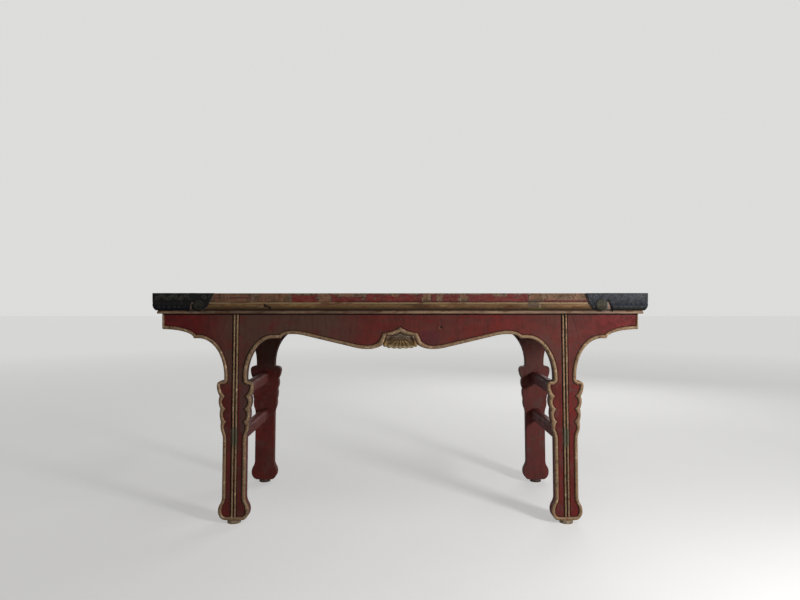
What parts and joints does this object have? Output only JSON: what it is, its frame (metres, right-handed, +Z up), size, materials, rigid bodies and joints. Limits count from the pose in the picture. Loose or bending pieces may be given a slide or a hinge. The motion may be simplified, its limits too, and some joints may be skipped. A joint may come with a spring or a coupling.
{
  "type": "altar table",
  "caption": "Long low Chinese altar table in worn red lacquer: mitred panel top, cusped aprons with gilt bead, flat inserted-shoulder legs and paired side stretchers.",
  "frame": {"origin": "on the floor, under the middle of the table", "axes": "+X along the table to the right seen from the front, +Y from the front to the back, +Z up"},
  "size_m": [1.825, 0.64, 0.86],
  "materials": {
    "red_lacquer": "worn cinnabar lacquer over wood, gilt on the raised beads",
    "gilt_lacquer": "worn gilding on mouldings and carving",
    "top_lacquer": "rubbed dark red lacquer with open board joints",
    "dark_undercoat": "dull black-brown undercoat on hidden faces",
    "dark_iron": "blackened iron sheet with chased scrolls",
    "foot_pad": "bare scuffed wood"
  },
  "bodies": {
    "root": {"apron_back": "red_lacquer", "apron_front": "red_lacquer", "apron_leaf_back": "gilt_lacquer", "apron_leaf_front": "gilt_lacquer", "apron_left": "red_lacquer", "apron_right": "red_lacquer", "batten_1": "dark_undercoat", "batten_2": "dark_undercoat", "batten_3": "dark_undercoat", "batten_4": "dark_undercoat", "corner_mount_back_left": "dark_iron", "corner_mount_back_right": "dark_iron", "corner_mount_front_left": "dark_iron", "corner_mount_front_right": "dark_iron", "leg_back_left": "red_lacquer", "leg_back_right": "red_lacquer", "leg_front_left": "red_lacquer", "leg_front_right": "red_lacquer", "moulding_back": "gilt_lacquer", "moulding_front": "gilt_lacquer", "moulding_left": "gilt_lacquer", "moulding_right": "gilt_lacquer", "pad_back_left": "foot_pad", "pad_back_right": "foot_pad", "pad_front_left": "foot_pad", "pad_front_right": "foot_pad", "stretcher_left_lower": "red_lacquer", "stretcher_left_upper": "red_lacquer", "stretcher_right_lower": "red_lacquer", "stretcher_right_upper": "red_lacquer", "top_back_rail": "red_lacquer", "top_board_back": "top_lacquer", "top_board_front": "top_lacquer", "top_board_middle": "top_lacquer", "top_front_rail": "red_lacquer", "top_left_end": "red_lacquer", "top_right_end": "red_lacquer"}
  },
  "joints": []
}
